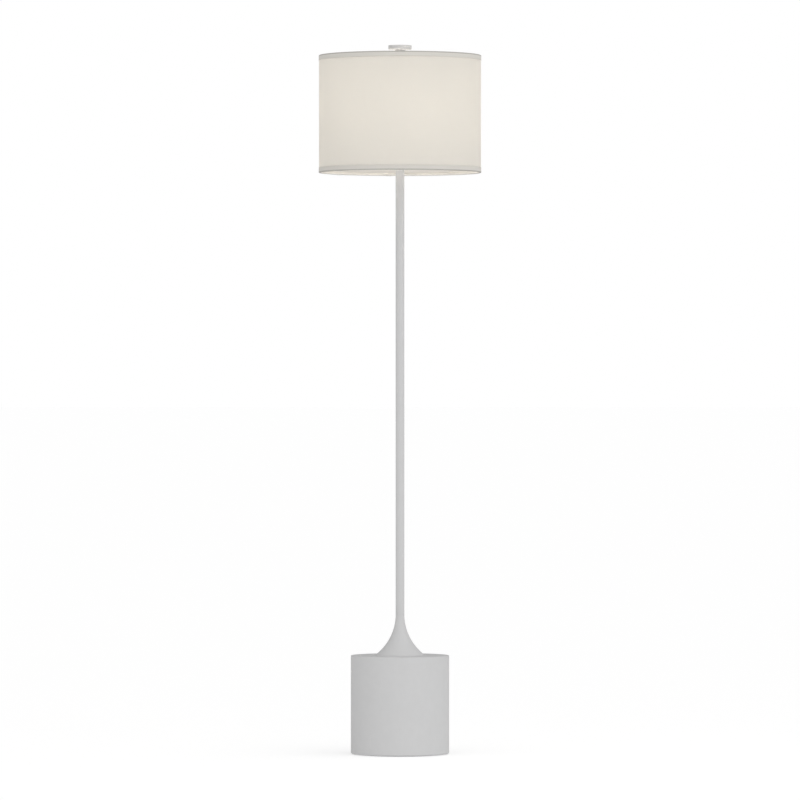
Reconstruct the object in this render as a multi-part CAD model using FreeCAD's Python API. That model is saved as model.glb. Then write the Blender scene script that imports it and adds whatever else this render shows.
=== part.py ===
import FreeCAD, Part
import math
import os

from FreeCAD import Vector

# Column floor lamp with a drum shade, in millimetres.
# The origin is on the floor under the middle of the lamp, +Z is up and -Y is the front.
# The harp lies in the XZ plane, the switch points to the front and the mains inlet to the back.
# Threads are plain cylinders at the size of the thread's crest.

# ---- overall sizes
overall_height = 1557.0
base_diameter = 216.0
base_height = 217.0
column_diameter = 19.05
shade_diameter = 356.0
shade_height = 258.0

# ---- clearances
thread_gap = 0.05      # between a male and a female thread
slip_gap = 0.05        # between parts that plug together
laminate_gap = 0.1     # glue line between the layers of the shade
hole_gap = 0.2         # round a screw in a plain hole
seat_gap = 0.3         # between parts that only rest against each other
rod_hole_gap = 0.4     # round the threaded tube in the drum's top

# ---- base drum
shell_wall = 1.5
shell_floor_gap = 1.2
shell_top_edge = 2.0
shell_bottom_edge = 3.0
shell_lip = 4.0        # from the drum's side to the edge of the lip that is turned in under it
foot_thickness = 3.0
foot_width = 50.0
foot_inset = 12.0      # from the lip to the rubber foot
plate_thickness = 2.5
plate_gap = 0.5        # from the lip to the plate
lug_count = 4
lug_width = 16.0
lug_depth = 12.0
lug_height = 9.0
lug_screw_radius = 2.0
lug_screw_length = 10.0
screw_head_height = 2.0
ballast_height = 30.0
ballast_gap = 2.0
ballast_bolt_radius = 3.0
ballast_bolt_end = 1.5
ballast_washer_radius = 9.0
ballast_washer_thickness = 1.6
ballast_nut_flats = 10.0
ballast_nut_thickness = 5.0
stiffener_thickness = 4.0
stiffener_margin = 6.0

# ---- mains inlet
inlet_height = 24.0
inlet_bore_radius = 3.3
inlet_bore_edge = 0.6
inlet_neck_radius = 5.4
inlet_neck_length = 9.0
inlet_flange_radius = 8.0
inlet_flange_thickness = 2.5
inlet_flange_edge = 1.0
inlet_nut_flats = 14.0
inlet_nut_thickness = 3.0

# ---- hollow threaded tube that carries the lead
nipple_radius = 4.9
nipple_bore_radius = 3.3
nipple_nut_flats = 16.0
nipple_nut_thickness = 6.0
nipple_washer_radius = 12.0
nipple_washer_thickness = 1.6
nipple_end = 4.0       # thread that stands past the nut

# ---- trumpet foot
flare_radius = 54.6
flare_height = 90.0
flare_wall = 3.0
flare_land = 0.6       # height of the upright edge at the foot
flare_cavity_height = 40.0

# ---- column
column_wall = 1.2
column_sections = 3
tube_chamfer = 0.2
spigot_length = 12.0
insert_length = 16.0
insert_inset = 0.5
joint_nipple_length = 28.0
top_cap_thickness = 4.0
top_cap_edge = 0.8

# ---- lead inside the column
lead_radius = 2.2
splice_radius = 4.5
splice_length = 22.0
splice_edge = 2.0
splice_distance = 51.0  # from the axis to the mouths of the splice caps

# ---- harp saddle
saddle_thickness = 1.2
saddle_width = 14.0
saddle_half_span = 27.0
saddle_taper_end = 21.5
saddle_ear_width = 4.6
saddle_ear_height = 13.0
saddle_bend = 1.3

# ---- harp
harp_height = 200.0
harp_wire_radius = 2.0
harp_bulb_gap = 27.0   # from the bulb to the middle of the wire
harp_leg_share = 0.24  # shares of the harp's height where the wire turns
harp_belly_low_share = 0.50
harp_belly_high_share = 0.78
harp_crown_share = 0.44  # of the harp's half width
harp_pad_radius = 8.0
harp_pad_thickness = 4.0
sleeve_length = 13.0
sleeve_wall = 1.0

# ---- swivel stud on the harp
stud_shank_radius = 3.2
stud_post_radius = 3.175
stud_post_height = 11.5
stud_post_edge = 0.6
stud_shoulder_radius = 8.0
stud_shoulder_thickness = 3.0
stud_shoulder_edge = 0.5
stud_rivet_radius = 5.0
stud_rivet_thickness = 1.5
stud_rivet_edge = 0.7
stud_gap = 0.1

# ---- lamp holder; heights are above its bottom
cap_wall = 1.0
cap_height = 21.0
cap_hub_radius = 8.5
cap_hub_height = 5.0
cap_hub_thickness = 6.4
cap_shoulder_height = 9.0
cap_shoulder_edge = 4.0
holder_height = 58.5
shell_sheet = 0.5
shell_start = 13.0
bead_width = 0.6
bead_height = 1.2
liner_wall = 0.7
liner_inset = 1.0
body_start = 10.4
body_end = 33.0
body_edge = 1.0
body_margin = 0.7      # from the thread shell to the edge of the body
thread_shell_wall = 0.7
thread_shell_gap = 0.6
thread_shell_edge = 0.8
thread_shell_end = 56.0
contact_radius = 3.5
contact_stalk_radius = 1.4
contact_thickness = 0.6
contact_end = 37.7
terminal_start = 17.6
terminal_radius = 2.6
terminal_head = 1.2
terminal_slot = 0.6
set_screw_radius = 1.5

# ---- switch
switch_height = 22.0
switch_stem_radius = 1.5
switch_stem_depth = 11.0
switch_hole_radius = 3.0
knob_radius = 5.2
knob_nose_radius = 3.6
knob_nose_length = 2.5
knob_length = 13.0
knob_bore_length = 6.5
knob_edge = 1.0
knob_gap = 3.0
knob_flutes = 12
knob_flute_radius = 0.8

# ---- bulb; heights are above its tip
bulb_radius = 30.0
bulb_length = 110.0
bulb_base_radius = 13.0
bulb_base_wall = 0.6
bulb_base_edge = 1.0
bulb_cone_size = 3.0    # width and height of the cone from the base to the insulator
bulb_tip_radius = 4.5
bulb_tip_height = 1.5
bulb_tip_edge = 0.8
bulb_insulator_height = 6.0
bulb_insulator_land = 1.0
bulb_base_height = 26.0
bulb_plug_height = 12.0
bulb_body_height = 72.0
bulb_neck_margin = 0.9
bulb_neck_length = 15.0
bulb_globe_wall = 1.3
board_thickness = 1.2
board_gap = 2.5

# ---- shade
fabric_thickness = 0.5
backing_thickness = 0.7
ring_wire_radius = 1.6
trim_thickness = 0.5
trim_edge = 0.3
trim_width = 11.5
trim_inner_width = 6.5
spider_arms = 3
spider_first_arm = -90.0
spider_arm_radius = 1.5
spider_drop = 10.0
spider_hub_radius = 14.0
spider_hub_thickness = 1.6
spider_weld = 3.0      # length of each arm that lies on the hub

# ---- finial
finial_rise = 22.0     # from the shade's top edge to the top of the finial
finial_disc_radius = 25.4
finial_disc_thickness = 9.3
finial_neck_radius = 10.7
finial_edge = 0.8
finial_neck_edge = 0.4
finial_insert_radius = 5.0
finial_insert_length = 12.5
finial_bore_end = 1.0

# ---- places that follow from the sizes
up = Vector(0, 0, 1)

base_radius = base_diameter / 2
shell_inner_radius = base_radius - shell_wall
lip_radius = base_radius - shell_lip
plate_radius = lip_radius - plate_gap
foot_radius = lip_radius - foot_inset
plate_top = foot_thickness + plate_thickness
lug_screw_distance = (foot_radius + lip_radius) / 2
lug_inner_radius = shell_inner_radius - lug_depth
ballast_radius = lug_inner_radius - ballast_gap
ballast_top = plate_top + ballast_height
ballast_washer_top = ballast_top + ballast_washer_thickness
ballast_nut_top = ballast_washer_top + ballast_nut_thickness

deck_bottom = base_height - shell_wall
stiffener_bottom = deck_bottom - stiffener_thickness
deck_washer_bottom = stiffener_bottom - nipple_washer_thickness
deck_nut_bottom = deck_washer_bottom - nipple_nut_thickness
deck_hole_radius = nipple_radius + rod_hole_gap
base_nipple_bottom = deck_nut_bottom - nipple_end

column_radius = column_diameter / 2
column_bore = column_radius - column_wall
spigot_radius = column_bore - slip_gap
flare_top = base_height + flare_height
first_insert_bottom = flare_top + spigot_length + insert_inset

shade_radius = shade_diameter / 2
shade_top = overall_height - finial_rise
shade_bottom = shade_top - shade_height
backing_outer = shade_radius - fabric_thickness - laminate_gap
backing_inner = backing_outer - backing_thickness
ring_radius = backing_inner - laminate_gap - ring_wire_radius
wall_bottom = shade_bottom + trim_thickness + laminate_gap
wall_top = shade_top - trim_thickness - laminate_gap
top_ring_height = wall_top - ring_wire_radius
bottom_ring_height = wall_bottom + ring_wire_radius

hub_top = shade_top - spider_drop
hub_bottom = hub_top - spider_hub_thickness
shoulder_bottom = hub_bottom - stud_shoulder_thickness
pad_top = shoulder_bottom - stud_gap
pad_bottom = pad_top - harp_pad_thickness
harp_top = (pad_top + pad_bottom) / 2
harp_bottom = harp_top - harp_height
harp_leg = saddle_half_span + slip_gap
harp_half_width = bulb_radius + harp_bulb_gap

holder_bottom = harp_bottom - seat_gap
saddle_top = holder_bottom
saddle_bottom = saddle_top - saddle_thickness
saddle_ear_inner = saddle_half_span - saddle_thickness
column_top = saddle_bottom - top_cap_thickness
section_length = (column_top - flare_top) / column_sections
seams = [flare_top + section_length * (i + 1) for i in range(column_sections - 1)]

thread_shell_bore = bulb_base_radius + thread_shell_gap
thread_shell_radius = thread_shell_bore + thread_shell_wall
body_radius = thread_shell_radius + body_margin
liner_radius = body_radius + seat_gap + liner_wall
socket_shell_radius = liner_radius + slip_gap + shell_sheet
cap_radius = socket_shell_radius + slip_gap + cap_wall
sleeve_bore = math.hypot(saddle_thickness + slip_gap, saddle_ear_width / 2) + seat_gap

bulb_cone_radius = bulb_base_radius - bulb_cone_size
bulb_neck_radius = bulb_base_radius + bulb_neck_margin
bulb_bottom = holder_bottom + contact_end + seat_gap
bulb_centre = bulb_bottom + bulb_length - bulb_radius
board_bottom = bulb_bottom + bulb_body_height


# ---- shapes
def tangent_arc(before, corner, after, reach):
    """The start, the arc and the end of a bend that leaves the two runs at reach from their corner."""
    into = (corner - before).normalize()
    out = (after - corner).normalize()
    turn = into.getAngle(out)
    radius = reach / math.tan(turn / 2)
    middle = corner + (out - into).normalize() * (radius / math.cos(turn / 2) - radius)
    start = corner - into * reach
    end = corner + out * reach
    return start, Part.Arc(start, middle, end).toShape(), end


def outline(corners):
    """A closed outline in the XZ plane. Each corner is (x, z), or (x, z, radius) where it is rounded."""
    places = [Vector(corner[0], 0, corner[1]) for corner in corners]
    edges = []
    ends = []
    for i, corner in enumerate(corners):
        here = places[i]
        if len(corner) < 3:
            ends.append((here, None, here))
            continue
        before = places[i - 1]
        after = places[(i + 1) % len(corners)]
        turn = (here - before).getAngle(after - here)
        ends.append(tangent_arc(before, here, after, corner[2] * math.tan(turn / 2)))
    for i, (start, arc, end) in enumerate(ends):
        if arc:
            edges.append(arc)
        following = ends[(i + 1) % len(ends)][0]
        edges.append(Part.LineSegment(end, following).toShape())
    return edges


def turned(edges):
    """A solid of revolution about the lamp's axis."""
    face = Part.Face(Part.Wire(edges))
    return face.revolve(Vector(0, 0, 0), up, 360)


def lathe(*corners):
    return turned(outline(corners))


def rod(radius, low, high):
    return Part.makeCylinder(radius, high - low, Vector(0, 0, low))


def pipe(outer, inner, low, high):
    return rod(outer, low, high).cut(rod(inner, low, high))


def hexagon(flats, bore, low, high):
    corner = Vector(flats / math.sqrt(3), 0, low)
    corners = [spun(Part.Vertex(corner), 60 * i).Point for i in range(7)]
    face = Part.Face(Part.makePolygon(corners))
    return face.extrude(Vector(0, 0, high - low)).cut(rod(bore, low, high))


def countersunk(radius, low, high):
    """A countersunk screw or its hole, with the head downwards and flush with low."""
    head = Part.makeCone(2 * radius, radius, screw_head_height, Vector(0, 0, low))
    return head.fuse(rod(radius, low, high)).removeSplitter()


def bent_wire(points, radius, share=0.45):
    """A round wire along the points, with an arc at each that takes up a share of its shorter run."""
    edges = []
    radii = []
    start = points[0]
    for before, here, after in zip(points, points[1:], points[2:]):
        shorter = min((here - before).Length, (after - here).Length)
        begin, arc, end = tangent_arc(before, here, after, share * shorter)
        edges += [Part.LineSegment(start, begin).toShape(), arc]
        radii.append(round(arc.Curve.Radius, 1))
        start = end
    edges.append(Part.LineSegment(start, points[-1]).toShape())
    section = Part.Wire(Part.makeCircle(radius, points[0], points[1] - points[0]))
    wire = Part.Wire(edges).makePipeShell([section], True, False)
    length = sum(edge.Length for edge in edges)
    ratio = wire.Volume / (math.pi * radius ** 2 * length)
    print("wire of length", round(length, 1), "bend radii", radii, "volume ratio", round(ratio, 4))
    return wire


def moved(shape, x, y, z=0.0):
    copy = shape.copy()
    copy.translate(Vector(x, y, z))
    return copy


def spun(shape, degrees):
    """A copy of the shape, turned about the lamp's axis."""
    copy = shape.copy()
    copy.rotate(Vector(0, 0, 0), up, degrees)
    return copy


def spun_copies(shape, count, first=0.0):
    return [spun(shape, first + 360 / count * i) for i in range(count)]


def to_back(shape, height):
    """Lays a shape that stands on the Z axis down, so that its top points to the back."""
    copy = shape.copy()
    copy.rotate(Vector(0, 0, 0), Vector(1, 0, 0), -90)
    return moved(copy, 0, 0, height)


def to_front(shape, height):
    copy = shape.copy()
    copy.rotate(Vector(0, 0, 0), Vector(1, 0, 0), 90)
    return moved(copy, 0, 0, height)


def to_side(shape, side, height):
    copy = shape.copy()
    copy.rotate(Vector(0, 0, 0), Vector(0, 1, 0), 90 * side)
    return moved(copy, 0, 0, height)


# ---- base drum
def base_shell():
    top_inner_edge = max(shell_top_edge - shell_wall, shell_wall / 5)
    bottom_inner_edge = max(shell_bottom_edge - shell_wall, shell_wall / 5)
    shell = lathe(
        (lip_radius, shell_floor_gap),
        (base_radius, shell_floor_gap, shell_bottom_edge),
        (base_radius, base_height, shell_top_edge),
        (deck_hole_radius, base_height),
        (deck_hole_radius, deck_bottom),
        (shell_inner_radius, deck_bottom, top_inner_edge),
        (shell_inner_radius, shell_floor_gap + shell_wall, bottom_inner_edge),
        (lip_radius, shell_floor_gap + shell_wall),
    )
    return shell.cut(to_back(rod(inlet_neck_radius + hole_gap, 0, base_radius), inlet_height))


def foot_ring():
    return pipe(foot_radius, foot_radius - foot_width, 0, foot_thickness)


def bottom_plate():
    plate = rod(plate_radius, foot_thickness, plate_top)
    hole = moved(countersunk(lug_screw_radius + hole_gap, foot_thickness, plate_top), lug_screw_distance, 0)
    for copy in spun_copies(hole, lug_count, 180 / lug_count):
        plate = plate.cut(copy)
    return plate.cut(countersunk(ballast_bolt_radius + hole_gap, foot_thickness, plate_top))


def plate_lugs():
    size = (lug_depth + shell_wall, lug_width, lug_height)
    block = Part.makeBox(*size, Vector(lug_inner_radius, -lug_width / 2, plate_top))
    lug_top = plate_top + lug_height
    block = block.common(rod(shell_inner_radius - slip_gap, plate_top, lug_top))
    block = block.cut(moved(rod(lug_screw_radius + thread_gap, plate_top, lug_top), lug_screw_distance, 0))
    return spun_copies(block, lug_count, 180 / lug_count)


def plate_screws():
    screw = countersunk(lug_screw_radius, foot_thickness, foot_thickness + lug_screw_length)
    return spun_copies(moved(screw, lug_screw_distance, 0), lug_count, 180 / lug_count)


def ballast():
    return pipe(ballast_radius, ballast_bolt_radius + hole_gap, plate_top, ballast_top)


def ballast_bolt():
    return countersunk(ballast_bolt_radius, foot_thickness, ballast_nut_top + ballast_bolt_end)


def ballast_washer():
    return pipe(ballast_washer_radius, ballast_bolt_radius + hole_gap, ballast_top, ballast_washer_top)


def ballast_nut():
    bore = ballast_bolt_radius + thread_gap
    return hexagon(ballast_nut_flats, bore, ballast_washer_top, ballast_nut_top)


# ---- mains inlet in the back of the drum
def cord_gland():
    inner_end = base_radius - inlet_neck_length
    outer_end = base_radius + inlet_flange_thickness
    return to_back(lathe(
        (inlet_bore_radius, inner_end, inlet_bore_edge),
        (inlet_neck_radius, inner_end),
        (inlet_neck_radius, base_radius),
        (inlet_flange_radius, base_radius),
        (inlet_flange_radius, outer_end, inlet_flange_edge),
        (inlet_bore_radius, outer_end, inlet_bore_edge),
    ), inlet_height)


def gland_nut():
    """The nut is flat and the wall is round, so the nut's corners meet the wall first."""
    corner = inlet_nut_flats / math.sqrt(3)
    face = math.sqrt(shell_inner_radius ** 2 - corner ** 2) - slip_gap
    bore = inlet_neck_radius + thread_gap
    return to_back(hexagon(inlet_nut_flats, bore, face - inlet_nut_thickness, face), inlet_height)


# ---- top of the drum and the trumpet foot
def deck_stiffener():
    return pipe(flare_radius + stiffener_margin, deck_hole_radius, stiffener_bottom, deck_bottom)


def deck_washer():
    return pipe(nipple_washer_radius, deck_hole_radius, deck_washer_bottom, stiffener_bottom)


def deck_nut():
    return hexagon(nipple_nut_flats, nipple_radius + thread_gap, deck_nut_bottom, deck_washer_bottom)


def nipple(low, high):
    return pipe(nipple_radius, nipple_bore_radius, low, high)


def base_nipple():
    return nipple(base_nipple_bottom, first_insert_bottom + insert_length - insert_inset)


def flare_foot():
    """A trumpet: one arc leaves the column upright and meets the upright edge of the foot."""
    reach = flare_radius - column_radius
    drop = flare_height - flare_land
    radius = (reach ** 2 + drop ** 2) / (2 * reach)
    middle = column_radius + radius
    bore = nipple_radius + slip_gap
    land = base_height + flare_land
    ceiling = base_height + flare_cavity_height
    spigot_top = flare_top + spigot_length

    def flank(height, arc_radius):
        return Vector(middle - math.sqrt(arc_radius ** 2 - (flare_top - height) ** 2), 0, height)

    def flank_arc(low, high, arc_radius):
        places = [flank(height, arc_radius) for height in (low, (low + high) / 2, high)]
        return Part.Arc(*places).toShape()

    cavity = radius + flare_wall
    corners = [
        flank(flare_top, radius),
        Vector(spigot_radius, 0, flare_top),
        Vector(spigot_radius, 0, spigot_top),
        Vector(bore, 0, spigot_top),
        Vector(bore, 0, ceiling),
        flank(ceiling, cavity),
    ]
    edges = [Part.LineSegment(a, b).toShape() for a, b in zip(corners, corners[1:])]
    foot = [flank(base_height, cavity), Vector(flare_radius, 0, base_height), flank(land, radius)]
    edges += [Part.LineSegment(a, b).toShape() for a, b in zip(foot, foot[1:])]
    edges += [flank_arc(land, flare_top, radius), flank_arc(base_height, ceiling, cavity)]
    return turned(Part.__sortEdges__(edges))


# ---- column
def column_tube(number):
    low = flare_top + number * section_length
    high = low + section_length
    return lathe(
        (column_bore, low),
        (column_radius - tube_chamfer, low),
        (column_radius, low + tube_chamfer),
        (column_radius, high - tube_chamfer),
        (column_radius - tube_chamfer, high),
        (column_bore, high),
    )


def column_inserts():
    """Threaded bushes brazed into the tubes: one above the foot, and one on each side of a seam."""
    bottoms = [first_insert_bottom]
    for seam in seams:
        bottoms += [seam - insert_inset - insert_length, seam + insert_inset]
    return [pipe(spigot_radius, nipple_radius + thread_gap, low, low + insert_length) for low in bottoms]


def joint_nipples():
    half = joint_nipple_length / 2
    return [nipple(seam - half, seam + half) for seam in seams]


def column_top_cap():
    bore = nipple_radius + thread_gap
    plug_bottom = column_top - spigot_length
    return lathe(
        (bore, plug_bottom),
        (spigot_radius, plug_bottom),
        (spigot_radius, column_top),
        (column_radius, column_top),
        (column_radius, saddle_bottom, top_cap_edge),
        (bore, saddle_bottom),
    )


def socket_nipple():
    return nipple(column_top - spigot_length, holder_bottom + cap_hub_height + cap_wall)


# ---- lead from the base to the lamp holder
def splice_caps():
    far = splice_distance + splice_length
    cap = to_back(lathe(
        (0, splice_distance),
        (splice_radius, splice_distance),
        (splice_radius, far, splice_edge),
        (0, far),
    ), ballast_top + splice_radius + slip_gap)
    apart = splice_radius + lead_radius + seat_gap
    return [moved(cap, side * apart, 0) for side in (-1, 1)]


def column_lead():
    """The lead lies on the ballast, rises to the middle of the drum and goes straight up the column."""
    floor = ballast_top + lead_radius + slip_gap
    room = base_nipple_bottom - floor
    start = splice_distance + splice_length / 2
    return bent_wire([
        Vector(0, start, floor),
        Vector(0, start * 0.5, floor),
        Vector(0, start * 0.2, floor + room * 0.25),
        Vector(0, 0, floor + room * 0.75),
        Vector(0, 0, holder_bottom + body_start - seat_gap),
    ], lead_radius)


# ---- harp saddle
def harp_saddle():
    high = saddle_top + saddle_ear_height
    strip = Part.Face(Part.Wire(outline([
        (-saddle_half_span, high),
        (-saddle_half_span, saddle_bottom, saddle_bend + saddle_thickness),
        (saddle_half_span, saddle_bottom, saddle_bend + saddle_thickness),
        (saddle_half_span, high),
        (saddle_ear_inner, high),
        (saddle_ear_inner, saddle_top, saddle_bend),
        (-saddle_ear_inner, saddle_top, saddle_bend),
        (-saddle_ear_inner, high),
    ]))).extrude(Vector(0, saddle_width, 0))
    wide = saddle_width / 2
    narrow = saddle_ear_width / 2
    half = [
        (column_radius, wide),
        (saddle_taper_end, narrow),
        (saddle_half_span, narrow),
        (saddle_half_span, -narrow),
        (saddle_taper_end, -narrow),
        (column_radius, -wide),
    ]
    corners = half + [(-x, -y) for x, y in half] + half[:1]
    plan = Part.Face(Part.makePolygon([Vector(x, y, saddle_bottom) for x, y in corners]))
    blank = plan.extrude(Vector(0, 0, high - saddle_bottom))
    saddle = moved(strip, 0, -wide).common(blank)
    return saddle.cut(rod(nipple_radius + hole_gap, saddle_bottom, saddle_top))


# ---- lamp holder
def socket_cap():
    shoulder = holder_bottom + cap_shoulder_height
    hub = holder_bottom + cap_hub_height
    hub_top_face = holder_bottom + cap_hub_thickness
    bore = nipple_radius + thread_gap
    inner = cap_radius - cap_wall
    cap = lathe(
        (bore, holder_bottom),
        (cap_hub_radius, holder_bottom, 0.5),
        (cap_hub_radius, hub, 1.5),
        (cap_radius, shoulder, cap_shoulder_edge),
        (cap_radius, holder_bottom + cap_height, 0.3),
        (inner, holder_bottom + cap_height, 0.3),
        (inner, shoulder + cap_wall, cap_shoulder_edge - cap_wall),
        (cap_hub_radius - cap_wall, hub_top_face, 1.0),
        (bore, hub_top_face),
    )
    screw_hole = rod(set_screw_radius + thread_gap, 0, cap_hub_radius + cap_wall)
    cap = cap.cut(to_back(screw_hole, holder_bottom + cap_hub_height / 2))
    return cap.cut(switch_hole(switch_hole_radius))


def socket_set_screw():
    screw = rod(set_screw_radius, nipple_radius + thread_gap, cap_hub_radius)
    return to_back(screw, holder_bottom + cap_hub_height / 2)


def switch_hole(radius, start=0.0):
    """The round hole for the switch, from start on the axis to the front."""
    return to_front(rod(radius, start, cap_radius + cap_wall), holder_bottom + switch_height)


def socket_shell():
    low = holder_bottom + shell_start
    high = holder_bottom + holder_height
    outer = socket_shell_radius
    inner = outer - shell_sheet
    shell = lathe(
        (inner, low),
        (outer, low),
        (outer, high - bead_height, 0.3),
        (outer + bead_width, high - bead_height, 0.25),
        (outer + bead_width, high, 0.4),
        (inner, high, 0.2),
    )
    return shell.cut(switch_hole(switch_hole_radius))


def socket_liner():
    low = holder_bottom + shell_start
    high = holder_bottom + holder_height - liner_inset
    liner = pipe(liner_radius, liner_radius - liner_wall, low, high)
    return liner.cut(switch_hole(switch_hole_radius))


def socket_body():
    low = holder_bottom + body_start
    high = holder_bottom + body_end
    body = lathe((0, low), (body_radius, low, body_edge), (body_radius, high), (0, high))
    body = body.cut(switch_hole(switch_stem_radius + slip_gap, body_radius - switch_stem_depth))
    pocket = rod(terminal_radius + hole_gap, body_radius - terminal_head - slip_gap, cap_radius)
    for side in (-1, 1):
        body = body.cut(to_side(pocket, side, holder_bottom + terminal_start))
    return body


def terminal_screws():
    screw = rod(terminal_radius, body_radius - terminal_head, body_radius)
    slot_size = (2 * terminal_radius, terminal_slot, terminal_slot)
    slot = Part.makeBox(*slot_size, Vector(-terminal_radius, -terminal_slot / 2, body_radius - terminal_slot))
    screw = screw.cut(slot)
    return [to_side(screw, side, holder_bottom + terminal_start) for side in (-1, 1)]


def socket_screw_shell():
    low = holder_bottom + body_end
    high = holder_bottom + thread_shell_end
    floor_radius = thread_shell_bore / 2
    return lathe(
        (floor_radius, low),
        (thread_shell_radius, low, thread_shell_edge),
        (thread_shell_radius, high),
        (thread_shell_bore, high),
        (thread_shell_bore, low + thread_shell_wall, thread_shell_edge / 2),
        (floor_radius, low + thread_shell_wall),
    )


def socket_contact():
    low = holder_bottom + body_end
    high = holder_bottom + contact_end
    return lathe(
        (0, low),
        (contact_stalk_radius, low),
        (contact_stalk_radius, high - contact_thickness),
        (contact_radius, high - contact_thickness),
        (contact_radius, high),
        (0, high),
    )


# ---- switch
def switch_stem():
    start = body_radius - switch_stem_depth + seat_gap
    end = cap_radius + knob_gap + knob_bore_length
    return to_front(rod(switch_stem_radius, start, end), holder_bottom + switch_height)


def switch_knob():
    start = cap_radius + knob_gap
    end = start + knob_length
    bore = switch_stem_radius + slip_gap
    knob = lathe(
        (0, start + knob_bore_length),
        (bore, start + knob_bore_length),
        (bore, start),
        (knob_nose_radius, start),
        (knob_radius, start + knob_nose_length, knob_edge),
        (knob_radius, end, knob_edge),
        (0, end),
    )
    flute = moved(rod(knob_flute_radius, start + knob_nose_length + knob_edge, end), knob_radius, 0)
    for copy in spun_copies(flute, knob_flutes):
        knob = knob.cut(copy)
    return to_front(knob, holder_bottom + switch_height)


# ---- bulb
def bulb_tip():
    radius = bulb_tip_radius
    high = bulb_bottom + bulb_tip_height
    return lathe((0, bulb_bottom), (radius, bulb_bottom, bulb_tip_edge), (radius, high), (0, high))


def bulb_insulator():
    low = bulb_bottom + bulb_tip_height
    high = bulb_bottom + bulb_insulator_height
    radius = bulb_cone_radius
    land = high - bulb_insulator_land
    return lathe((0, low), (bulb_tip_radius, low), (radius, land), (radius, high), (0, high))


def bulb_base():
    cone_low = bulb_bottom + bulb_insulator_height
    cone_high = cone_low + bulb_cone_size
    high = bulb_bottom + bulb_base_height
    inner = bulb_base_radius - bulb_base_wall
    return lathe(
        (bulb_cone_radius, cone_low),
        (bulb_base_radius, cone_high, bulb_base_edge),
        (bulb_base_radius, high),
        (inner, high),
        (inner, cone_high + bulb_base_wall / 2, bulb_base_edge / 2),
        (bulb_cone_radius, cone_low + bulb_base_wall),
    )


def globe_point(height, radius):
    return Vector(math.sqrt(radius ** 2 - (height - bulb_centre) ** 2), 0, height)


def bulb_body():
    """The cast foot of the bulb, which runs into the round of the globe."""
    plug = bulb_base_radius - bulb_base_wall - slip_gap
    plug_low = bulb_bottom + bulb_plug_height
    neck = Vector(bulb_neck_radius, 0, bulb_bottom + bulb_base_height)
    rim = globe_point(board_bottom, bulb_radius)
    along_globe = Vector(bulb_centre - board_bottom, 0, rim.x) * 0.6
    side = Part.BezierCurve()
    side.setPoles([neck, neck + Vector(0, 0, bulb_neck_length), rim - along_globe, rim])
    corners = [
        rim,
        Vector(0, 0, board_bottom),
        Vector(0, 0, plug_low),
        Vector(plug, 0, plug_low),
        Vector(plug, 0, neck.z),
        neck,
    ]
    edges = [side.toShape()] + [Part.LineSegment(a, b).toShape() for a, b in zip(corners, corners[1:])]
    return turned(edges)


def led_board():
    return rod(bulb_radius - bulb_globe_wall - board_gap, board_bottom, board_bottom + board_thickness)


def bulb_globe():
    inner = bulb_radius - bulb_globe_wall
    top = Vector(0, 0, bulb_centre + bulb_radius)
    inner_top = Vector(0, 0, bulb_centre + inner)
    rim = globe_point(board_bottom, bulb_radius)
    inner_rim = globe_point(board_bottom, inner)
    return turned([
        Part.Arc(rim, globe_point(bulb_centre, bulb_radius), top).toShape(),
        Part.LineSegment(top, inner_top).toShape(),
        Part.Arc(inner_top, globe_point(bulb_centre, inner), inner_rim).toShape(),
        Part.LineSegment(inner_rim, rim).toShape(),
    ])


# ---- harp
def harp():
    """The feet of the wire are ground flat where they lie against the saddle's ears."""
    half = [
        (harp_leg, 0),
        (harp_leg, harp_leg_share),
        (harp_half_width, harp_belly_low_share),
        (harp_half_width, harp_belly_high_share),
        (harp_half_width * harp_crown_share, 1),
    ]
    shares = half + [(-x, share) for x, share in half[::-1]]
    places = [Vector(x, 0, harp_bottom + share * harp_height) for x, share in shares]
    wire = bent_wire(places, harp_wire_radius)
    wire = wire.fuse(rod(harp_pad_radius, pad_bottom, pad_top)).removeSplitter()
    wire = wire.cut(rod(stud_shank_radius + slip_gap, pad_bottom, pad_top))
    foot_size = (2 * harp_leg, 2 * saddle_width, saddle_ear_height + seat_gap)
    return wire.cut(Part.makeBox(*foot_size, Vector(-harp_leg, -saddle_width, harp_bottom)))


def harp_sleeve(side):
    low = harp_bottom + seat_gap
    sleeve = pipe(sleeve_bore + sleeve_wall, sleeve_bore, low, low + sleeve_length)
    return moved(sleeve, side * harp_leg, 0)


def harp_stud():
    rivet_top = pad_bottom - stud_gap
    rivet_bottom = rivet_top - stud_rivet_thickness
    return lathe(
        (0, rivet_bottom),
        (stud_rivet_radius, rivet_bottom, stud_rivet_edge),
        (stud_rivet_radius, rivet_top),
        (stud_shank_radius, rivet_top),
        (stud_shank_radius, shoulder_bottom),
        (stud_shoulder_radius, shoulder_bottom),
        (stud_shoulder_radius, hub_bottom, stud_shoulder_edge),
        (stud_post_radius, hub_bottom),
        (stud_post_radius, hub_top + stud_post_height, stud_post_edge),
        (0, hub_top + stud_post_height),
    )


# ---- shade
def shade_fabric():
    return pipe(shade_radius, shade_radius - fabric_thickness, wall_bottom, wall_top)


def shade_backing():
    return pipe(backing_outer, backing_inner, wall_bottom, wall_top)


def shade_ring(height):
    return Part.makeTorus(ring_radius, ring_wire_radius, Vector(0, 0, height), up)


def spider_arm(radius):
    """The arm lies on the hub and rises to the middle of the wire ring."""
    inner = Vector(spider_hub_radius - spider_weld, 0, hub_top - spider_hub_thickness / 2)
    outer = Vector(ring_radius, 0, top_ring_height)
    along = outer - inner
    return Part.makeCylinder(radius, along.Length, inner, along)


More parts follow.
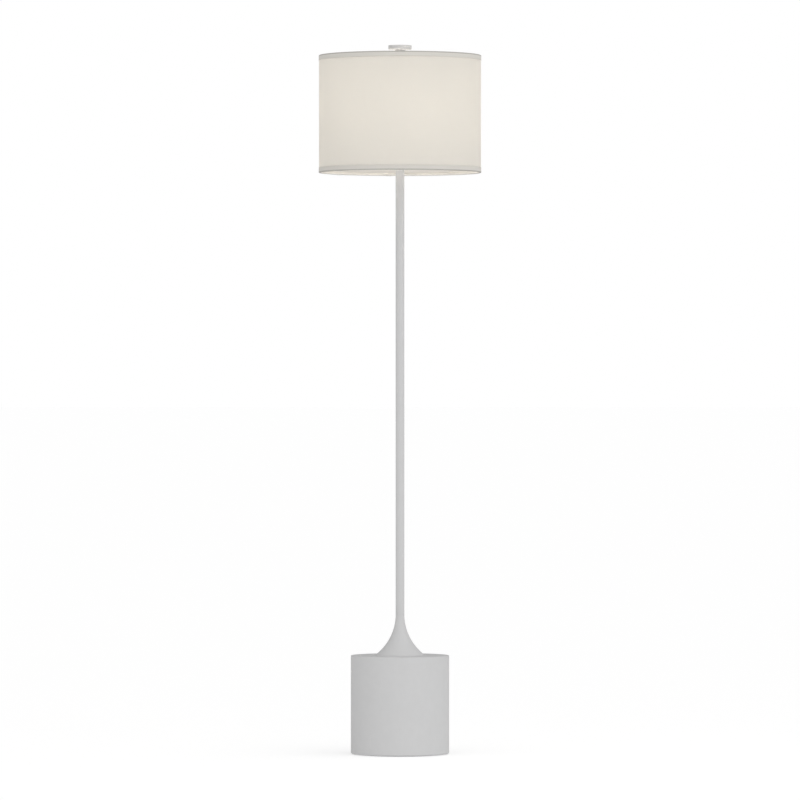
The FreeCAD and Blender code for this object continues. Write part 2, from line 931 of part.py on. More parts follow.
def shade_spider():
    hub = rod(spider_hub_radius, hub_bottom, hub_top)
    finial_room = rod(finial_neck_radius + hole_gap, hub_top, hub_top + spider_drop)
    stud_room = rod(stud_shoulder_radius + hole_gap, shoulder_bottom, hub_bottom)
    arm = spider_arm(spider_arm_radius).cut(shade_ring(top_ring_height)).cut(finial_room).cut(stud_room)
    for copy in spun_copies(arm, spider_arms, spider_first_arm):
        hub = hub.fuse(copy)
    return hub.removeSplitter().cut(rod(stud_post_radius + slip_gap, hub_bottom, hub_top))


def trim(edge, inward):
    """Tape folded over the edge of the shade: up the outside, over the wire ring and back inside."""
    outer = shade_radius + laminate_gap + trim_thickness
    inner = ring_radius - ring_wire_radius - laminate_gap - trim_thickness
    fold = edge + inward * trim_thickness
    return lathe(
        (outer, edge, trim_edge),
        (outer, edge + inward * trim_width),
        (outer - trim_thickness, edge + inward * trim_width),
        (outer - trim_thickness, fold),
        (inner + trim_thickness, fold),
        (inner + trim_thickness, edge + inward * trim_inner_width),
        (inner, edge + inward * trim_inner_width),
        (inner, edge, trim_edge),
    )


def shade_top_trim():
    tape = trim(shade_top, -1)
    for notch in spun_copies(spider_arm(spider_arm_radius + laminate_gap), spider_arms, spider_first_arm):
        tape = tape.cut(notch)
    return tape


# ---- finial
def finial_cap():
    disc_bottom = overall_height - finial_disc_thickness
    bore = finial_insert_radius + slip_gap
    bore_end = hub_top + finial_insert_length + finial_bore_end
    return lathe(
        (0, bore_end),
        (bore, bore_end),
        (bore, hub_top),
        (finial_neck_radius, hub_top, finial_neck_edge),
        (finial_neck_radius, disc_bottom, finial_edge),
        (finial_disc_radius, disc_bottom, finial_edge),
        (finial_disc_radius, overall_height, finial_edge),
        (0, overall_height),
    )


def finial_insert():
    low = hub_top + slip_gap
    return pipe(finial_insert_radius, stud_post_radius + 2 * thread_gap, low, hub_top + finial_insert_length)


pieces = {
    "base_shell": base_shell(),
    "foot_ring": foot_ring(),
    "bottom_plate": bottom_plate(),
    "plate_lugs": plate_lugs(),
    "plate_screws": plate_screws(),
    "ballast": ballast(),
    "ballast_bolt": ballast_bolt(),
    "ballast_washer": ballast_washer(),
    "ballast_nut": ballast_nut(),
    "cord_gland": cord_gland(),
    "gland_nut": gland_nut(),
    "deck_stiffener": deck_stiffener(),
    "deck_washer": deck_washer(),
    "deck_nut": deck_nut(),
    "base_nipple": base_nipple(),
    "flare_foot": flare_foot(),
    "column_inserts": column_inserts(),
    "joint_nipples": joint_nipples(),
    "column_top_cap": column_top_cap(),
    "socket_nipple": socket_nipple(),
    "splice_caps": splice_caps(),
    "column_lead": column_lead(),
    "harp_saddle": harp_saddle(),
    "socket_cap": socket_cap(),
    "socket_set_screw": socket_set_screw(),
    "socket_shell": socket_shell(),
    "socket_liner": socket_liner(),
    "socket_body": socket_body(),
    "terminal_screws": terminal_screws(),
    "socket_screw_shell": socket_screw_shell(),
    "socket_contact": socket_contact(),
    "switch_stem": switch_stem(),
    "switch_knob": switch_knob(),
    "bulb_tip": bulb_tip(),
    "bulb_insulator": bulb_insulator(),
    "bulb_base": bulb_base(),
    "bulb_body": bulb_body(),
    "led_board": led_board(),
    "bulb_globe": bulb_globe(),
    "harp": harp(),
    "harp_sleeve_left": harp_sleeve(-1),
    "harp_sleeve_right": harp_sleeve(1),
    "harp_stud": harp_stud(),
    "shade_fabric": shade_fabric(),
    "shade_backing": shade_backing(),
    "shade_top_ring": shade_ring(top_ring_height),
    "shade_bottom_ring": shade_ring(bottom_ring_height),
    "shade_spider": shade_spider(),
    "shade_top_trim": shade_top_trim(),
    "shade_bottom_trim": trim(shade_bottom, 1),
    "finial_cap": finial_cap(),
    "finial_insert": finial_insert(),
}
for number in range(column_sections):
    pieces["column_tube_" + str(number + 1)] = column_tube(number)

os.makedirs("parts", exist_ok=True)
for name, shape in pieces.items():
    if isinstance(shape, list):
        shape = Part.makeCompound(shape)
    if not shape.isValid() or not shape.Solids:
        raise ValueError(name + " is not a valid solid")
    shape.exportStep("parts/" + name + ".step")
    print(name, len(shape.Solids), round(shape.Volume, 1))
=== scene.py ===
import math

import bmesh
import bpy
from mathutils import Matrix, Vector


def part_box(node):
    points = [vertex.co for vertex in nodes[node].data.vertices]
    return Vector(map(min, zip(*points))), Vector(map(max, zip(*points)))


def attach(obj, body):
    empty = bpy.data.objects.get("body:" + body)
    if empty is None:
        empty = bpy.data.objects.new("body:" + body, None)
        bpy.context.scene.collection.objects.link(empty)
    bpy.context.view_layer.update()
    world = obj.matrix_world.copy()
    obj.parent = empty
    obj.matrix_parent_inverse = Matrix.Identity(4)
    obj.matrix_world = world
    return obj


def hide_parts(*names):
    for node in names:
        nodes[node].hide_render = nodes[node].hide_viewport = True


# Column floor lamp with a drum shade. Metres, +Z up, -Y is the front, the lamp's axis is Z.
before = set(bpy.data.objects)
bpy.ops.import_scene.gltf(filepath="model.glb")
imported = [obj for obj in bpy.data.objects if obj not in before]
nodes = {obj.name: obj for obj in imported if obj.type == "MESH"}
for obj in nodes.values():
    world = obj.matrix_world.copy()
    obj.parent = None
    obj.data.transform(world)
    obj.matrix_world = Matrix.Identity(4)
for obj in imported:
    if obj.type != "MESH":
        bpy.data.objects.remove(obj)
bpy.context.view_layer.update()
scene = bpy.context.scene
fullTurn = 2 * math.pi


# Camera, floor and light
photoView = {
    "distance": 12.98,     # from the lamp's axis
    "height": 0.7778,
    "lens": 265.8,
    "sensor": 36.0,
}
studio = {
    "room": 0.76,          # how bright the pale room is at the sides
    "roomSlope": 0.38,     # how much brighter it is where the light stands, and darker across from it
    "roomShine": 0.62,     # how much of the room's brightness reflections show
    "keyPower": 8.0,       # one large soft light, to the right of the camera
    "keyAzimuth": 28.0,
    "keyElevation": 15.0,
    "keyDistance": 4.0,
    "keySize": 2.6,
    "bulbPower": (0.80, 0.50, 0.15),  # shares of the lit bulb's light, from low to high in the shade
    "bulbSpread": 0.065,
    "bulbDrop": 0.022,     # their middle, below the foot of the globe
    "bulbMargin": 0.004,   # their radius, past the globe's own
    "bulbColour": (1.0, 0.94, 0.87),
    "floorTone": 0.60,
    "floorGlow": 0.33,
    "floorLift": 0.17,     # only the camera sees it: keeps the far floor as pale as the room
    "floorSize": 600.0,
    "floorDrop": 0.0002,   # how far it lies under the lamp's feet
    "floorPatches": 1.5,   # faint patches in a metre of it
}


def makeCamera():
    lens = bpy.data.cameras.new("photoCamera")
    lens.lens = photoView["lens"]
    lens.sensor_width = photoView["sensor"]
    lens.clip_end = 2 * studio["floorSize"]
    camera = bpy.data.objects.new("photoCamera", lens)
    camera.location = (0, -photoView["distance"], photoView["height"])
    camera.rotation_euler = (math.pi / 2, 0, 0)
    scene.collection.objects.link(camera)
    scene.camera = camera


# Shader helpers. An input is a number, a colour or the output that feeds it.
def addNode(tree, kind, inputs=None, **settings):
    node = tree.nodes.new(kind)
    for key, value in settings.items():
        setattr(node, key, value)
    for key, value in (inputs or {}).items():
        if isinstance(value, bpy.types.NodeSocket):
            tree.links.new(value, node.inputs[key])
        else:
            node.inputs[key].default_value = value
    return node


def calc(tree, operation, first, second=0.0):
    return addNode(tree, "ShaderNodeMath", {0: first, 1: second}, operation=operation).outputs[0]


def between(tree, share, low, high):
    settings = {"Value": share, "To Min": low, "To Max": high}
    return addNode(tree, "ShaderNodeMapRange", settings).outputs["Result"]


def blendColours(tree, share, first, second):
    mixer = addNode(tree, "ShaderNodeMix", data_type="RGBA")
    for socket, value in zip((mixer.inputs[0], mixer.inputs[6], mixer.inputs[7]), (share, first, second)):
        if isinstance(value, bpy.types.NodeSocket):
            tree.links.new(value, socket)
        else:
            socket.default_value = (*value, 1.0)
    return mixer.outputs[2]


def noise(tree, where, scale, detail=2.0, roughness=0.5):
    settings = {"Vector": where, "Scale": scale, "Detail": detail, "Roughness": roughness}
    return addNode(tree, "ShaderNodeTexNoise", settings).outputs["Fac"]


def newGroup(name, inputs, outputs):
    group = bpy.data.node_groups.new(name, "ShaderNodeTree")
    for label, kind, value in inputs:
        socket = group.interface.new_socket(name=label, in_out="INPUT", socket_type="NodeSocket" + kind)
        if value is not None:
            socket.default_value = value
    for label in outputs:
        group.interface.new_socket(name=label, in_out="OUTPUT", socket_type="NodeSocketFloat")
    return group, addNode(group, "NodeGroupInput").outputs, addNode(group, "NodeGroupOutput").inputs


def makeStudio():
    world = bpy.data.worlds.new("studioRoom")
    scene.world = world
    world.use_nodes = True
    tree = world.node_tree
    tree.nodes.clear()
    azimuth, elevation = math.radians(studio["keyAzimuth"]), math.radians(studio["keyElevation"])
    away = Vector((math.sin(azimuth), -math.cos(azimuth), math.tan(elevation))).normalized()
    towards = addNode(tree, "ShaderNodeVectorMath", {
        0: addNode(tree, "ShaderNodeTexCoord").outputs["Generated"], 1: away,
    }, operation="DOT_PRODUCT").outputs["Value"]
    slope = calc(tree, "MULTIPLY", towards, studio["roomSlope"])
    path = addNode(tree, "ShaderNodeLightPath").outputs
    room = calc(tree, "ADD", slope, studio["room"])
    shine = between(tree, path["Is Glossy Ray"], 1.0, studio["roomShine"])
    strength = calc(tree, "MAXIMUM", calc(tree, "MULTIPLY", room, shine), path["Is Camera Ray"])
    sky = addNode(tree, "ShaderNodeBackground", {"Color": (1, 1, 1, 1), "Strength": strength})
    addNode(tree, "ShaderNodeOutputWorld", {"Surface": sky.outputs[0]})

    light = bpy.data.lights.new("softKey", "AREA")
    light.energy = studio["keyPower"]
    light.size = studio["keySize"]
    key = bpy.data.objects.new("softKey", light)
    key.location = Vector((0, 0, photoView["height"])) + away * studio["keyDistance"]
    key.rotation_euler = away.to_track_quat("Z", "Y").to_euler()
    key.visible_camera = False
    scene.collection.objects.link(key)

    bm = bmesh.new()
    bmesh.ops.create_grid(bm, x_segments=1, y_segments=1, size=studio["floorSize"])
    bmesh.ops.translate(bm, verts=bm.verts, vec=(0, 0, -studio["floorDrop"]))
    mesh = bpy.data.meshes.new("studioFloor")
    bm.to_mesh(mesh)
    bm.free()
    floor = bpy.data.objects.new("studioFloor", mesh)
    scene.collection.objects.link(floor)
    paint = bpy.data.materials.new("floorPaint")
    paint.use_nodes = True
    tree = paint.node_tree
    tree.nodes.clear()
    tone = studio["floorTone"]
    where = addNode(tree, "ShaderNodeTexCoord").outputs["Object"]
    cast = blendColours(tree, noise(tree, where, studio["floorPatches"]), (tone * 0.99,) * 3, (tone,) * 3)
    matte = addNode(tree, "ShaderNodeBsdfDiffuse", {"Color": cast})
    seen = addNode(tree, "ShaderNodeLightPath").outputs["Is Camera Ray"]
    lift = calc(tree, "MULTIPLY", seen, studio["floorLift"])
    glow = addNode(tree, "ShaderNodeEmission", {"Strength": calc(tree, "ADD", lift, studio["floorGlow"])})
    pale = addNode(tree, "ShaderNodeAddShader", {0: matte.outputs[0], 1: glow.outputs[0]})
    clear = addNode(tree, "ShaderNodeBsdfTransparent")
    # open from below, for views of the underside
    below = addNode(tree, "ShaderNodeNewGeometry").outputs["Backfacing"]
    mixed = addNode(tree, "ShaderNodeMixShader", {0: below, 1: pale.outputs[0], 2: clear.outputs[0]})
    addNode(tree, "ShaderNodeOutputMaterial", {"Surface": mixed.outputs[0]})
    mesh.materials.append(paint)


def makeBulbGlow():
    # most of the bulb's light, spread as evenly up and down the shade as its diffuser spreads it
    low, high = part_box("bulb_globe")
    for i, power in enumerate(studio["bulbPower"]):
        light = bpy.data.lights.new("bulbGlow", "POINT")
        light.energy = power
        light.color = studio["bulbColour"]
        light.shadow_soft_size = (high.x - low.x) / 2 + studio["bulbMargin"]
        glow = bpy.data.objects.new("bulbGlow", light)
        glow.location = (0, 0, low.z - studio["bulbDrop"] + (i - 1) * studio["bulbSpread"])
        glow.visible_camera = False
        scene.collection.objects.link(glow)


makeCamera()
makeStudio()
makeBulbGlow()
scene.view_settings.view_transform = "Standard"
scene.cycles.diffuse_bounces = 8  # light has to find its way through the shade's layers
scene.cycles.max_bounces = 16
print("studio: camera, key light, room and floor")


# Effects that several finishes share. Each puts out a height and a tone, or a mask, of about 0 to 1.
def fineTextureGroup():
    # the small lumps of powder coat, moulded plastic and castings
    group, given, result = newGroup(
        "fineTexture", [("Vector", "Vector", None), ("Grain", "Float", 0.001)], ["Height", "Tone"]
    )
    perMetre = calc(group, "DIVIDE", 1.0, given["Grain"])
    lumps = noise(group, given["Vector"], perMetre, 2.0, 0.55)
    pits = noise(group, given["Vector"], calc(group, "MULTIPLY", perMetre, 2.7), 1.0)
    patches = noise(group, given["Vector"], calc(group, "MULTIPLY", perMetre, 0.06), 3.0, 0.6)
    height = calc(group, "ADD", calc(group, "MULTIPLY", lumps, 0.7), calc(group, "MULTIPLY", pits, 0.3))
    group.links.new(height, result["Height"])
    group.links.new(patches, result["Tone"])
    return group


def turnedLinesGroup():
    # tool marks that run round the axis
    group, given, result = newGroup(
        "turnedLines", [("Vector", "Vector", None), ("Line", "Float", 0.0004)], ["Height", "Tone"]
    )
    split = addNode(group, "ShaderNodeSeparateXYZ", {0: given["Vector"]}).outputs
    squareX = calc(group, "MULTIPLY", split["X"], split["X"])
    squareY = calc(group, "MULTIPLY", split["Y"], split["Y"])
    reach = calc(group, "SQRT", calc(group, "ADD", squareX, squareY))
    around = calc(group, "MULTIPLY", calc(group, "ARCTAN2", split["Y"], split["X"]), 0.0006)
    across = addNode(group, "ShaderNodeCombineXYZ", {"X": reach, "Y": around, "Z": split["Z"]}).outputs[0]
    perMetre = calc(group, "DIVIDE", 1.0, given["Line"])
    lines = noise(group, across, perMetre, 3.0, 0.65)
    bands = noise(group, across, calc(group, "MULTIPLY", perMetre, 0.15), 2.0)
    group.links.new(lines, result["Height"])
    group.links.new(bands, result["Tone"])
    return group


def spangleGroup():
    # the crystals of a zinc coat, with fine scratches over them
    group, given, result = newGroup(
        "spangle", [("Vector", "Vector", None), ("Crystal", "Float", 0.002)], ["Height", "Tone"]
    )
    perMetre = calc(group, "DIVIDE", 1.0, given["Crystal"])
    cells = addNode(group, "ShaderNodeTexVoronoi", {"Vector": given["Vector"], "Scale": perMetre})
    grey = addNode(group, "ShaderNodeSeparateColor", {0: cells.outputs["Color"]}).outputs[0]
    drawnOut = {"Vector": given["Vector"], "Scale": (1.0, 14.0, 14.0)}
    stretch = addNode(group, "ShaderNodeMapping", drawnOut).outputs[0]
    scratches = noise(group, stretch, calc(group, "MULTIPLY", perMetre, 0.5), 4.0, 0.7)
    tone = calc(group, "ADD", calc(group, "MULTIPLY", grey, 0.6), calc(group, "MULTIPLY", scratches, 0.4))
    group.links.new(scratches, result["Height"])
    group.links.new(tone, result["Tone"])
    return group


def plainWeaveGroup():
    # threads over and under each other, on a flat layout in metres, with thick places along them
    group, given, result = newGroup(
        "plainWeave",
        [("Vector", "Vector", None), ("Pitch", "Float", 0.0007), ("Slub", "Float", 0.5)],
        ["Height", "Tone"],
    )
    split = addNode(group, "ShaderNodeSeparateXYZ", {0: given["Vector"]}).outputs
    ridges = []
    cells = []
    slubs = []
    for along, across, stretch in (("X", "Y", (14.0, 1100.0, 1.0)), ("Y", "X", (1100.0, 14.0, 1.0))):
        drawn = addNode(group, "ShaderNodeMapping", {"Vector": given["Vector"], "Scale": stretch}).outputs[0]
        slub = noise(group, drawn, 1.0, 2.0, 0.6)
        sway = noise(group, addNode(group, "ShaderNodeMapping", {
            "Vector": given["Vector"], "Scale": (60.0, 60.0, 1.0),
        }).outputs[0], 1.0, 1.0)
        count = calc(group, "ADD", calc(group, "DIVIDE", split[across], given["Pitch"]), sway)
        ridges.append(calc(group, "ABSOLUTE", calc(group, "SINE", calc(group, "MULTIPLY", count, math.pi))))
        cells.append(calc(group, "FLOOR", count))
        slubs.append(slub)
    odd = calc(group, "PINGPONG", calc(group, "ADD", *cells), 1.0)
    over = calc(group, "ADD", calc(group, "MULTIPLY", ridges[0], odd),
                calc(group, "MULTIPLY", ridges[1], calc(group, "SUBTRACT", 1.0, odd)))
    thick = calc(group, "MULTIPLY", calc(group, "ADD", *slubs), 0.5)
    extra = calc(group, "MULTIPLY", calc(group, "SUBTRACT", thick, 0.5), given["Slub"])
    group.links.new(calc(group, "ADD", over, extra), result["Height"])
    # tone: lighter on the threads' crowns and darker between them, which is painted shade in the weave's
    # hollows, and varied by the thick places, which is the thread's own tone
    tone = calc(group, "ADD", calc(group, "MULTIPLY", over, 0.35), calc(group, "MULTIPLY", thick, 0.65))
    group.links.new(tone, result["Tone"])
    return group


def smudgesGroup():
    # where a surface is a little duller than elsewhere
    group, given, result = newGroup(
        "smudges", [("Vector", "Vector", None), ("Size", "Float", 0.05)], ["Mask"]
    )
    perMetre = calc(group, "DIVIDE", 1.0, given["Size"])
    wide = noise(group, given["Vector"], perMetre, 4.0, 0.6)
    fine = noise(group, given["Vector"], calc(group, "MULTIPLY", perMetre, 9.0), 2.0)
    mask = calc(group, "ADD", calc(group, "MULTIPLY", wide, 0.75), calc(group, "MULTIPLY", fine, 0.25))
    group.links.new(mask, result["Mask"])
    return group


fineTexture = fineTextureGroup()
turnedLines = turnedLinesGroup()
spangle = spangleGroup()
plainWeave = plainWeaveGroup()
smudges = smudgesGroup()


# Finishes. Colours run from dark to light with the effect's tone, roughness with the smudges.
def makeFinish(name, effect, look):
    finish = bpy.data.materials.new(name)
    finish.use_nodes = True
    tree = finish.node_tree
    shader = tree.nodes["Principled BSDF"]
    for socket, value in look.get("shader", {}).items():
        shader.inputs[socket].default_value = value
    if look.get("onCloth"):
        where = addNode(tree, "ShaderNodeUVMap", uv_map="clothLayout").outputs[0]
    else:
        where = addNode(tree, "ShaderNodeTexCoord").outputs["Object"]
    pattern = addNode(tree, "ShaderNodeGroup", {}, node_tree=effect)
    tree.links.new(where, pattern.inputs["Vector"])
    for socket, value in look["pattern"].items():
        pattern.inputs[socket].default_value = value
    dull = addNode(tree, "ShaderNodeGroup", {}, node_tree=smudges)
    tree.links.new(where, dull.inputs["Vector"])
    dull.inputs["Size"].default_value = look["smudge"]
    colour = blendColours(tree, pattern.outputs["Tone"], look["dark"], look["light"])
    tree.links.new(colour, shader.inputs["Base Color"])
    tree.links.new(between(tree, dull.outputs["Mask"], *look["rough"]), shader.inputs["Roughness"])
    relief = addNode(tree, "ShaderNodeBump", {
        "Height": pattern.outputs["Height"], "Distance": look["depth"], "Strength": look["relief"],
    })
    tree.links.new(relief.outputs[0], shader.inputs["Normal"])
    return finish


def letLightThrough(slotName, look):
    # part of the light that meets the sheet goes on through it
    tree = finishes[slotName].node_tree
    shader = tree.nodes["Principled BSDF"]
    through = addNode(tree, "ShaderNodeBsdfTranslucent", {"Color": (*look["throughTint"], 1.0)})
    tree.links.new(shader.inputs["Normal"].links[0].from_socket, through.inputs["Normal"])
    both = addNode(tree, "ShaderNodeMixShader", {
        0: look["through"], 1: shader.outputs[0], 2: through.outputs[0],
    })
    tree.links.new(both.outputs[0], tree.nodes["Material Output"].inputs["Surface"])


# painted shade along the tape's fold, where the ring lies behind it
tapeFoldShade = {
    "middle": 0.0126,      # across the flat tape, from its outer edge
    "halfWidth": 0.0042,
    "blur": 0.0014,
    "shadeTint": (0.64, 0.635, 0.63),
}


def paintTapeFoldShade(finish):
    # painted shade: the tape's colour is darkened along the fold, in place of the shadow of the ring behind
    # it, which lets no light through
    tree = finish.node_tree
    base = tree.nodes["Principled BSDF"].inputs["Base Color"]
    across = addNode(tree, "ShaderNodeSeparateXYZ", {
        0: addNode(tree, "ShaderNodeUVMap", uv_map="clothLayout").outputs[0],
    }).outputs["Y"]
    away = calc(tree, "ABSOLUTE", calc(tree, "SUBTRACT", across, tapeFoldShade["middle"]))
    share = addNode(tree, "ShaderNodeMapRange", {
        "Value": away,
        "From Min": tapeFoldShade["halfWidth"],
        "From Max": tapeFoldShade["halfWidth"] - tapeFoldShade["blur"],
    }, interpolation_type="SMOOTHSTEP").outputs["Result"]
    foldShade = blendColours(tree, share, (1, 1, 1), tapeFoldShade["shadeTint"])
    product = addNode(tree, "ShaderNodeMix", {
        0: 1.0, 6: base.links[0].from_socket, 7: foldShade,
    }, data_type="RGBA", blend_type="MULTIPLY")
    tree.links.new(product.outputs[2], base)


powderLook = {
    "dark": (0.582, 0.582, 0.584), "light": (0.618, 0.618, 0.620),
    "rough": (0.46, 0.60), "smudge": 0.09,
    "pattern": {"Grain": 0.0011}, "depth": 0.00012, "relief": 0.6,
}
wireLook = {
    "dark": (0.66, 0.66, 0.655), "light": (0.70, 0.70, 0.695),
    "rough": (0.40, 0.52), "smudge": 0.03,
    "pattern": {"Grain": 0.0009}, "depth": 0.00005, "relief": 0.3,
}
rubberLook = {
    "dark": (0.018, 0.018, 0.019), "light": (0.034, 0.034, 0.035),
    "rough": (0.68, 0.86), "smudge": 0.02,
    "pattern": {"Grain": 0.0006}, "depth": 0.00008, "relief": 0.6,
}
castIronLook = {
    "dark": (0.030, 0.029, 0.028), "light": (0.060, 0.058, 0.056),
    "rough": (0.60, 0.85), "smudge": 0.03,
    "pattern": {"Grain": 0.0030}, "depth": 0.00040, "relief": 0.8,
}
nylonLook = {
    "dark": (0.016, 0.016, 0.017), "light": (0.026, 0.026, 0.027),
    "rough": (0.36, 0.52), "smudge": 0.01,
    "pattern": {"Grain": 0.0005}, "depth": 0.00003, "relief": 0.4,
}
spliceLook = {
    "dark": (0.60, 0.24, 0.035), "light": (0.70, 0.30, 0.050),
    "rough": (0.35, 0.48), "smudge": 0.01,
    "pattern": {"Grain": 0.0006}, "depth": 0.00003, "relief": 0.4,
}
leadLook = {
    "dark": (0.70, 0.70, 0.68), "light": (0.76, 0.76, 0.74),
    "rough": (0.42, 0.56), "smudge": 0.02,
    "pattern": {"Grain": 0.0010}, "depth": 0.00003, "relief": 0.3,
}
knobLook = {
    "dark": (0.014, 0.013, 0.013), "light": (0.022, 0.021, 0.020),
    "rough": (0.34, 0.48), "smudge": 0.008,
    "pattern": {"Grain": 0.0004}, "depth": 0.00001, "relief": 0.3,
    "shader": {"Coat Weight": 0.10, "Coat Roughness": 0.20},
}
linerLook = {
    "dark": (0.16, 0.12, 0.085), "light": (0.24, 0.185, 0.13),
    "rough": (0.70, 0.88), "smudge": 0.01,
    "pattern": {"Grain": 0.0005}, "depth": 0.00006, "relief": 0.6,
}
phenolicLook = {
    "dark": (0.018, 0.012, 0.009), "light": (0.036, 0.025, 0.019),
    "rough": (0.30, 0.46), "smudge": 0.01,
    "pattern": {"Grain": 0.0008}, "depth": 0.00003, "relief": 0.4,
}
contactLook = {
    "dark": (0.50, 0.50, 0.48), "light": (0.68, 0.68, 0.66),
    "rough": (0.28, 0.45), "smudge": 0.004,
    "pattern": {"Grain": 0.0012}, "depth": 0.00010, "relief": 0.5,
    "shader": {"Metallic": 1.0},
}
insulatorLook = {
    "dark": (0.008, 0.008, 0.012), "light": (0.016, 0.016, 0.020),
    "rough": (0.08, 0.18), "smudge": 0.006,
    "pattern": {"Grain": 0.0014}, "depth": 0.00003, "relief": 0.3,
    "shader": {"Coat Weight": 0.5, "Coat Roughness": 0.05},
}
bulbFootLook = {
    "dark": (0.78, 0.78, 0.77), "light": (0.83, 0.83, 0.82),
    "rough": (0.30, 0.42), "smudge": 0.02,
    "pattern": {"Grain": 0.0006}, "depth": 0.00002, "relief": 0.3,
}
opalLook = {
    "dark": (0.88, 0.87, 0.84), "light": (0.92, 0.91, 0.88),
    "rough": (0.22, 0.32), "smudge": 0.02,
    "pattern": {"Grain": 0.0008}, "depth": 0.00001, "relief": 0.2,
    "shader": {"Emission Strength": 12.0},
}
opalGlow = {"low": (0.86, 0.79, 0.70), "high": (1.0, 0.94, 0.86)}  # at the foot and the crown of the globe
zincLook = {
    "dark": (0.50, 0.51, 0.53), "light": (0.68, 0.69, 0.70),
    "rough": (0.26, 0.44), "smudge": 0.02,
    "pattern": {"Crystal": 0.0022}, "depth": 0.00002, "relief": 0.4,
    "shader": {"Metallic": 1.0},
}
brassLook = {
    "dark": (0.58, 0.42, 0.17), "light": (0.78, 0.60, 0.28),
    "rough": (0.20, 0.34), "smudge": 0.01,
    "pattern": {"Line": 0.00035}, "depth": 0.00002, "relief": 0.4,
    "shader": {"Metallic": 1.0},
}
nickelLook = {
    "dark": (0.56, 0.54, 0.50), "light": (0.66, 0.64, 0.60),
    "rough": (0.24, 0.36), "smudge": 0.015,
    "pattern": {"Grain": 0.0005}, "depth": 0.00001, "relief": 0.4,
    "shader": {"Metallic": 1.0},
}
aluminiumLook = {
    "dark": (0.70, 0.70, 0.70), "light": (0.84, 0.84, 0.84),
    "rough": (0.24, 0.38), "smudge": 0.01,
    "pattern": {"Line": 0.00030}, "depth": 0.00002, "relief": 0.4,
    "shader": {"Metallic": 1.0},
}
styreneLook = {
    "dark": (0.91, 0.90, 0.875), "light": (0.94, 0.93, 0.91),
    "rough": (0.45, 0.58), "smudge": 0.12,
    "pattern": {"Grain": 0.0030}, "depth": 0.00003, "relief": 0.3,
    "through": 0.60, "throughTint": (0.975, 0.97, 0.96),
}
linenLook = {
    "onCloth": True,
    "dark": (0.66, 0.645, 0.615), "light": (0.90, 0.89, 0.865),
    "rough": (0.82, 0.94), "smudge": 0.08,
    "pattern": {"Pitch": 0.00066, "Slub": 0.6}, "depth": 0.00016, "relief": 0.4,
    "through": 0.74, "throughTint": (0.97, 0.96, 0.94),
    "shader": {"Sheen Weight": 0.08, "Sheen Roughness": 0.5, "Specular IOR Level": 0.25},
}
tapeLook = {
    "onCloth": True,
    "dark": (0.63, 0.605, 0.56), "light": (0.73, 0.705, 0.66),
    "rough": (0.80, 0.92), "smudge": 0.03,
    "pattern": {"Pitch": 0.00048, "Slub": 0.4}, "depth": 0.00014, "relief": 0.5,
    "shader": {"Sheen Weight": 0.08, "Sheen Roughness": 0.5, "Specular IOR Level": 0.25},
}


def makeOpal():
    finish = makeFinish("opalGlobe", fineTexture, opalLook)
    tree = finish.node_tree
    low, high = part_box("bulb_globe")
    height = addNode(tree, "ShaderNodeSeparateXYZ", {
        0: addNode(tree, "ShaderNodeTexCoord").outputs["Object"],
    }).outputs["Z"]
    share = addNode(tree, "ShaderNodeMapRange", {"Value": height, "From Min": low.z, "From Max": high.z})
    glow = blendColours(tree, share.outputs["Result"], opalGlow["low"], opalGlow["high"])
    tree.links.new(glow, tree.nodes["Principled BSDF"].inputs["Emission Color"])
    finish.cycles.emission_sampling = "FRONT"
    return finish


finishes = {
    "white_powder_coat": makeFinish("powderCoat", fineTexture, powderLook),
    "foot_rubber": makeFinish("footRubber", fineTexture, rubberLook),
    "zinc_plated_steel": makeFinish("zincPlate", spangle, zincLook),
    "brass": makeFinish("turnedBrass", turnedLines, brassLook),
    "cast_iron": makeFinish("castIron", fineTexture, castIronLook),
    "black_nylon": makeFinish("blackNylon", fineTexture, nylonLook),
    "splice_plastic": makeFinish("splicePlastic", fineTexture, spliceLook),
    "lead_sheath": makeFinish("leadSheath", fineTexture, leadLook),
    "satin_nickel": makeFinish("satinNickel", fineTexture, nickelLook),
    "knob_plastic": makeFinish("knobPlastic", fineTexture, knobLook),
    "liner_board": makeFinish("linerBoard", fineTexture, linerLook),
    "phenolic": makeFinish("pressedPhenolic", fineTexture, phenolicLook),
    "bulb_contact": makeFinish("solderedContact", fineTexture, contactLook),
    "bulb_insulator_glass": makeFinish("insulatorGlass", fineTexture, insulatorLook),
    "bulb_aluminium": makeFinish("drawnAluminium", turnedLines, aluminiumLook),
    "bulb_foot_plastic": makeFinish("bulbFootPlastic", fineTexture, bulbFootLook),
    "opal_globe": makeOpal(),
    "shade_linen": makeFinish("shadeLinen", plainWeave, linenLook),
    "shade_styrene": makeFinish("shadeStyrene", fineTexture, styreneLook),
    "trim_tape": makeFinish("trimTape", plainWeave, tapeLook),
    "white_wire": makeFinish("coatedWire", fineTexture, wireLook),
}
letLightThrough("shade_linen", linenLook)
paintTapeFoldShade(finishes["trim_tape"])
letLightThrough("shade_styrene", styreneLook)
for node in nodes.values():
    node.material_slots[0].material = finishes[node.material_slots[0].material.name]
print("finishes:", len(finishes))


# Making of pieces
sharpAngle = 35.0          # edges that turn by more stay crisp


def addPiece(bm, name, body, slotName, *stoodFor):
    mesh = bpy.data.meshes.new(name)
    bm.to_mesh(mesh)
    bm.free()
    for face in mesh.polygons:
        face.use_smooth = True
    mesh.set_sharp_from_angle(angle=math.radians(sharpAngle))
    mesh.materials.append(finishes[slotName])
    piece = bpy.data.objects.new(name, mesh)
    scene.collection.objects.link(piece)
    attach(piece, body)
    if stoodFor:
        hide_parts(*stoodFor)
    return piece


def settle(piece):
    # makes the modifiers' result the piece's own mesh
    bpy.context.view_layer.update()
    shaped = bpy.data.meshes.new_from_object(piece.evaluated_get(bpy.context.evaluated_depsgraph_get()))
    piece.modifiers.clear()
    piece.data = shaped


def ease(share):
    held = min(max(share, 0.0), 1.0)
    return held * held * (3 - 2 * held)


